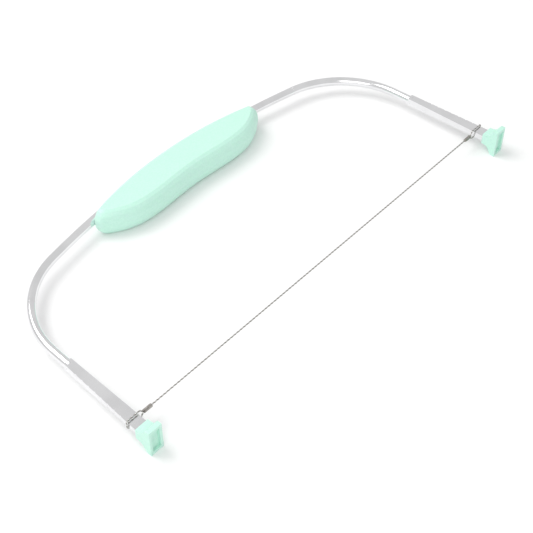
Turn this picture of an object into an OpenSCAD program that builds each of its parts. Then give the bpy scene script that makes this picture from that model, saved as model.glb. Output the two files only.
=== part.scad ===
// Cake leveler: a chromed bow with pressed legs, a two-part moulded handle,
// two moulded feet and a taut cutting wire whose end loops slide on the legs.
// Millimetres. The object lies on its back: +X along the wire, +Y from the
// feet to the handle, +Z out of the numbered faces, table at z = 0.

/* [Bow] */
// Diameter of the round rod
rod_d = 5.5; // [4.8:0.1:5.8]
// Height of the bow's middle above the lowest wire position
apex_h = 123; // [118:1:126]
// Radius of the gentle arch through the handle
arch_r = 488; // [440:1:540]
// Half angle of the gentle arch
arch_a = 12; // [11:0.5:12.5]
// Radius of the corner bends
corner_r = 54; // [50:1:56]
// Outward splay of each leg
splay = 2.4; // [1.5:0.1:3]

/* [Legs] */
// Width of the pressed leg at its lowest wire position
leg_w = 7; // [6.6:0.1:7.2]
// Width of the pressed leg at its top
leg_w_top = 5; // [4.8:0.1:5.2]
// Thickness of the pressed leg at its lowest wire position
leg_t = 3.6; // [3.2:0.1:3.8]
// Thickness of the pressed leg at its top
leg_t_top = 4.9; // [4.6:0.1:5]
// Spacing of the wire positions
pitch = 5; // [4.5:0.1:5]
// Number of steps above the lowest position
steps = 8; // [6:1:8]
// Depth of each notch in the outer edge
notch = 0.35; // [0.2:0.05:0.4]

/* [Handle] */
// Half length of the handle
hand_x = 67.3; // [64:0.1:70]
// Half depth of the handle
hand_h = 9; // [9:0.1:9.2]

/* [Feet] */
// Width of a foot along the wire
foot_w = 8.4; // [8.4:0.1:9]
// Distance from the lowest wire position to the sole
foot_drop = 16.7; // [16:0.1:17.5]

/* [Wire] */
// Diameter of the cutting wire
wire_d = 0.8; // [0.6:0.1:0.8]
// Diameter of a crimped ferrule
ferrule_d = 2.1; // [1.9:0.1:2.3]

/* [Hidden] */
$fn = 48;
pz = 9;
top_h = 127.5;
yo = -(top_h - foot_drop) / 2;
p1 = [arch_r * sin(arch_a), apex_h - arch_r * (1 - cos(arch_a))];
c2 = p1 - corner_r * [sin(arch_a), cos(arch_a)];
p2 = c2 + corner_r * [sin(90 - splay), cos(90 - splay)];
leg_x = p2[0] + p2[1] * tan(splay);
rod_end = p2[1] / cos(splay);
leg_len = 50;
ferrule_x = 139.6;
ferrule_l = 5.2;

function lw(s) = leg_w + (leg_w_top - leg_w) * s / 48;
function lt(s) = leg_t + (leg_t_top - leg_t) * s / 48;

module leg_place(side) translate([side * leg_x, yo, pz]) mirror([side < 0 ? 1 : 0, 0, 0]) rotate([0, 0, splay]) children();

// Tapered bar of a pressed leg, c larger all round, from s0 up to s1
module leg_bar(s0, s1, c) intersection() {
    translate([0, 0, -5]) linear_extrude(10)
        polygon([[-lw(s0) / 2 - c, s0], [lw(s0) / 2 + c, s0], [lw(s1) / 2 + c, s1], [-lw(s1) / 2 - c, s1]]);
    rotate([90, 0, 90]) translate([0, 0, -6]) linear_extrude(12)
        polygon([[s0, -lt(s0) / 2 - c], [s0, lt(s0) / 2 + c], [s1, lt(s1) / 2 + c], [s1, -lt(s1) / 2 - c]]);
}

module bow_frame() color("silver") {
    translate([0, yo + apex_h - arch_r, pz]) rotate([0, 0, 90 - arch_a - 0.2])
        rotate_extrude(angle = 2 * arch_a + 0.4, $fn = 720) translate([arch_r, 0]) circle(d = rod_d - 0.1, $fn = 48);
    for (side = [-1, 1]) {
        mirror([side < 0 ? 1 : 0, 0, 0]) translate([c2[0], yo + c2[1], pz]) rotate([0, 0, splay])
            rotate_extrude(angle = 90 - arch_a - splay, $fn = 180) translate([corner_r, 0]) circle(d = rod_d, $fn = 48);
        leg_place(side) {
            translate([0, leg_len - 2, 0]) rotate([-90, 0, 0]) cylinder(d = rod_d - 0.1, h = rod_end - leg_len + 3.2);
            difference() {
                leg_bar(-14, leg_len, 0);
                for (i = [0:steps])
                    translate([lw(i * pitch) / 2 + 0.6 - notch, i * pitch, -4]) cylinder(d = 1.2, h = 8, $fn = 24);
            }
        }
    }
}

// Outline of the handle, inset by d, as a closed ring of points
hn = 96;
function hand_top(x) = top_h - x * x / 560;
function hand_mid(x) = top_h - 5.5 - x * x / 560;
function hand_low(x) = abs(x) < 43 ? 98.2 - 1.5 * cos(180 * x / 43) * -1 : 96.7 + (abs(x) - 43) * (abs(x) - 43) / 60;
function hp(a, d) = let (x = (hand_x - d) * sign(cos(a)) * pow(abs(cos(a)), 0.8), k = pow(abs(sin(a)), 0.5))
    [x, yo + (sin(a) >= 0 ? hand_mid(x) + (5.5 - min(d, 5.3)) * k : hand_mid(x) - (hand_mid(x) - hand_low(x) - d) * k)];
function ring(d) = [for (i = [0:hn - 1]) hp(360 * (i + 0.5) / hn, d)];
levels = [0, 20, 40, 58, 75];
// Solid half of the handle's outer shape, from the split plane out to the face
module hand_half() {
    m = len(levels);
    pts = [for (t = levels) let (z = hand_h * sin(t) / sin(75)) for (p = ring(7 * (1 - cos(t)))) [p[0], p[1], z]];
    polyhedron(points = pts, faces = concat(
        [[for (i = [0:hn - 1]) i]],
        [[for (i = [hn - 1:-1:0]) (m - 1) * hn + i]],
        [for (j = [0:m - 2]) for (i = [0:hn - 1]) let (n = (i + 1) % hn) [j * hn + i, (j + 1) * hn + i, (j + 1) * hn + n]],
        [for (j = [0:m - 2]) for (i = [0:hn - 1]) let (n = (i + 1) % hn) [j * hn + i, (j + 1) * hn + n, j * hn + n]]));
}
module rod_channel() translate([0, yo + apex_h - arch_r, 0]) rotate([0, 0, 90 - arch_a])
    rotate_extrude(angle = 2 * arch_a, $fn = 720) translate([arch_r, 0]) circle(d = rod_d + 0.06, $fn = 48);
module hand_shell(pegs) difference() {
    union() {
        difference() {
            hand_half();
            translate([0, 0, -1]) linear_extrude(6.6) polygon(ring(4.6));
        }
        for (x = [-38, 0, 38]) translate([x - 1, yo + 102, 0]) cube([2, 19, 6]);
        for (x = [-20, 20]) translate([x, yo + 108, 0]) cylinder(d = 6, h = 6.4);
        if (pegs) for (x = [-20, 20]) translate([x, yo + 108, -3]) cylinder(d = 3, h = 6);
    }
    rod_channel();
    if (!pegs) for (x = [-20, 20]) translate([x, yo + 108, -1]) cylinder(d = 3.1, h = 4.2);
}
module handle_front_shell() color("aquamarine") translate([0, 0, pz]) hand_shell(true);
module handle_back_shell() color("aquamarine") translate([0, 0, pz]) mirror([0, 0, 1]) hand_shell(false);

module foot(side) color("aquamarine") difference() {
    translate([side * (leg_x + 0.5) - foot_w / 2, yo, pz]) rotate([90, 0, 90]) linear_extrude(foot_w)
        polygon([for (s = [1, -1]) each let (q = [[-foot_drop, 9], [-foot_drop + 2.5, 9], [-foot_drop + 3.7, 7.4],
            [-foot_drop + 4.9, 5.3], [-foot_drop + 6.2, 4.1], [-foot_drop + 7.8, 3.6], [-6.7, 3.4]])
            s > 0 ? q : [for (i = [6:-1:0]) [q[i][0], -q[i][1]]]]);
    leg_place(side) leg_bar(-14.1, 0, 0.05);
    translate([side * (leg_x + 0.5) - 2.6, yo - foot_drop - 1, pz - 7]) cube([5.2, 2.4, 14]);
}
module left_foot() foot(-1);
module right_foot() foot(1);

module cutting_wire() color("gray") translate([-ferrule_x + ferrule_l / 2, yo, pz])
    rotate([0, 90, 0]) cylinder(d = wire_d, h = 2 * ferrule_x - ferrule_l, $fn = 24);

module strand(a, b) translate([a[0], 0, a[1]]) rotate([0, 90 - atan2(b[1] - a[1], b[0] - a[0]), 0])
    translate([0, 0, -0.1]) cylinder(d = wire_d - 0.04, h = norm(b - a) + 0.2, $fn = 24);
module bend(c, r, a0, a1) translate([c[0], 0, c[1]]) rotate([90, 0, 0]) rotate([0, 0, a0])
    rotate_extrude(angle = a1 - a0, $fn = 96) translate([r, 0]) circle(d = wire_d, $fn = 24);
lb = 55;
lz = 2.95;
ls = [ferrule_x + sin(lb), 1.45 - cos(lb)];
le = ls + [cos(lb), sin(lb)] * ((lz - 1 + cos(lb)) - ls[1]) / sin(lb);
lx = le[0] + sin(lb);
module loop(side) color("dimgray") translate([0, yo, pz]) mirror([side < 0 ? 1 : 0, 0, 0]) {
    for (s = [0, 1]) mirror([0, 0, s]) {
        bend([ferrule_x, 1.45], 1, -90, lb - 90);
        strand(ls, le);
        bend([lx, lz - 1], 1, 90, 90 + lb);
        strand([lx, lz], [149.6, lz]);
        bend([149.6, lz - 1.2], 1.2, 0, 90);
    }
    strand([150.8, -lz + 1.2], [150.8, lz - 1.2]);
}
module left_wire_loop() loop(-1);
module right_wire_loop() loop(1);

module ferrule(side) color("dimgray") translate([0, yo, pz]) mirror([side < 0 ? 1 : 0, 0, 0]) difference() {
    translate([ferrule_x - ferrule_l, 0, 0]) rotate([0, 90, 0]) cylinder(d = ferrule_d, h = ferrule_l, $fn = 32);
    translate([ferrule_x - ferrule_l - 1, 0, 0]) rotate([0, 90, 0]) cylinder(d = wire_d + 0.04, h = ferrule_l / 2 + 1.05, $fn = 24);
}
module left_ferrule() ferrule(-1);
module right_ferrule() ferrule(1);

bow_frame();
handle_front_shell();
handle_back_shell();
left_foot();
right_foot();
cutting_wire();
left_wire_loop();
right_wire_loop();
left_ferrule();
right_ferrule();
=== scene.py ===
import bpy, math
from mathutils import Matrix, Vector

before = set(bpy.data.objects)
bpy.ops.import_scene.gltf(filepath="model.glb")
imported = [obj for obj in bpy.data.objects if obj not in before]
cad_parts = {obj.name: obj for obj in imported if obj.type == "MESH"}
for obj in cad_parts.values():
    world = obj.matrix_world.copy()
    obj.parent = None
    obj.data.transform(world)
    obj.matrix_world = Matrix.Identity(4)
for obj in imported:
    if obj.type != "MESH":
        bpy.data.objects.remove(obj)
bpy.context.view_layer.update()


def nodes_of(name):
    m = bpy.data.materials.new(name)
    m.use_nodes = True
    return m, m.node_tree, m.node_tree.nodes["Principled BSDF"]


def noise_bump(t, bsdf, scale, strength, dist):
    tc = t.nodes.new("ShaderNodeTexCoord")
    n = t.nodes.new("ShaderNodeTexNoise")
    n.inputs["Scale"].default_value = scale
    n.inputs["Detail"].default_value = 4
    t.links.new(tc.outputs["Object"], n.inputs["Vector"])
    b = t.nodes.new("ShaderNodeBump")
    b.inputs["Strength"].default_value = strength
    b.inputs["Distance"].default_value = dist
    t.links.new(n.outputs["Fac"], b.inputs["Height"])
    t.links.new(b.outputs["Normal"], bsdf.inputs["Normal"])
    return n


def ramp(t, src, a, b, dst, lo=0.3, hi=0.7):
    r = t.nodes.new("ShaderNodeValToRGB")
    r.color_ramp.elements[0].position = lo
    r.color_ramp.elements[1].position = hi
    r.color_ramp.elements[0].color = a
    r.color_ramp.elements[1].color = b
    t.links.new(src, r.inputs["Fac"])
    t.links.new(r.outputs["Color"], dst)


mint, t, b = nodes_of("mint_moulded")
n = noise_bump(t, b, 900, 0.12, 0.0002)
ramp(t, n.outputs["Fac"], (0.50, 0.80, 0.68, 1), (0.55, 0.84, 0.72, 1), b.inputs["Base Color"])
b.inputs["Roughness"].default_value = 0.42
b.inputs["Subsurface Weight"].default_value = 0.15
b.inputs["Subsurface Radius"].default_value = (0.002, 0.003, 0.002)

chrome, t, b = nodes_of("chrome_plate")
n = noise_bump(t, b, 60, 0.03, 0.0002)
ramp(t, n.outputs["Fac"], (0.78, 0.78, 0.79, 1), (0.86, 0.86, 0.87, 1), b.inputs["Base Color"])
b.inputs["Metallic"].default_value = 1.0
b.inputs["Roughness"].default_value = 0.12

wire, t, b = nodes_of("twisted_steel")
tc = t.nodes.new("ShaderNodeTexCoord")
w = t.nodes.new("ShaderNodeTexWave")
w.bands_direction = "DIAGONAL"
w.inputs["Scale"].default_value = 260
t.links.new(tc.outputs["Object"], w.inputs["Vector"])
# dark diagonal wave bands are painted shade in the grooves between the twisted strands, light bands are
# painted highlight on the strand crowns; the same wave also drives the bump
ramp(t, w.outputs["Fac"], (0.30, 0.28, 0.26, 1), (0.62, 0.61, 0.59, 1), b.inputs["Base Color"], 0.2, 0.8)
bp = t.nodes.new("ShaderNodeBump")
bp.inputs["Distance"].default_value = 0.0002
t.links.new(w.outputs["Fac"], bp.inputs["Height"])
t.links.new(bp.outputs["Normal"], b.inputs["Normal"])
b.inputs["Metallic"].default_value = 1.0
b.inputs["Roughness"].default_value = 0.3

crimp, t, b = nodes_of("crimped_steel")
n = noise_bump(t, b, 700, 0.4, 0.0003)
ramp(t, n.outputs["Fac"], (0.22, 0.20, 0.18, 1), (0.48, 0.46, 0.43, 1), b.inputs["Base Color"])
b.inputs["Metallic"].default_value = 1.0
b.inputs["Roughness"].default_value = 0.38

MAT = {"bow_frame": chrome, "handle_front_shell": mint, "handle_back_shell": mint, "left_foot": mint,
       "right_foot": mint, "cutting_wire": wire, "left_wire_loop": wire, "right_wire_loop": wire,
       "left_ferrule": crimp, "right_ferrule": crimp}
for name, m in MAT.items():
    o = bpy.data.objects[name] if name in bpy.data.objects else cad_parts[name]
    if not o.material_slots:
        o.data.materials.append(m)
    for s in o.material_slots:
        s.material = m

# floor
me = bpy.data.meshes.new("floor")
me.from_pydata([(-4, -4, 0), (4, -4, 0), (4, 4, 0), (-4, 4, 0)], [], [(0, 1, 2, 3)])
floor = bpy.data.objects.new("floor", me)
bpy.context.scene.collection.objects.link(floor)
fm, t, b = nodes_of("floor_pale")
b.inputs["Base Color"].default_value = (0.9, 0.9, 0.9, 1)
b.inputs["Roughness"].default_value = 0.9
me.materials.append(fm)

world = bpy.data.worlds.new("studio")
world.use_nodes = True
world.node_tree.nodes["Background"].inputs["Color"].default_value = (1, 1, 1, 1)
world.node_tree.nodes["Background"].inputs["Strength"].default_value = 0.75
bpy.context.scene.world = world


def area(name, loc, size, power):
    d = bpy.data.lights.new(name, "AREA")
    d.size = size
    d.energy = power
    o = bpy.data.objects.new(name, d)
    o.location = loc
    o.rotation_euler = (Vector((0, 0, 0)) - Vector(loc)).to_track_quat("-Z", "Y").to_euler()
    bpy.context.scene.collection.objects.link(o)


area("key", (-0.3, 0.7, 1.1), 0.9, 9)
area("fill", (-0.9, -0.5, 0.8), 0.8, 4)

# camera at the photograph's angle
az, el, dist = math.radians(-48.33), math.radians(46.36), 0.5925
back = Vector((math.sin(az) * math.cos(el), -math.cos(az) * math.cos(el), math.sin(el)))
target = Vector((-0.0272, 0.0201 - 0.0554, 0.009))
cd = bpy.data.cameras.new("camera")
cd.sensor_width = 36
cd.lens = 36 * 1080 / 533
cam = bpy.data.objects.new("camera", cd)
cam.location = target + back * dist
cam.rotation_euler = back.to_track_quat("Z", "Y").to_euler()
cd.clip_start = 0.01
bpy.context.scene.collection.objects.link(cam)
bpy.context.scene.camera = cam
bpy.context.scene.view_settings.view_transform = "Standard"
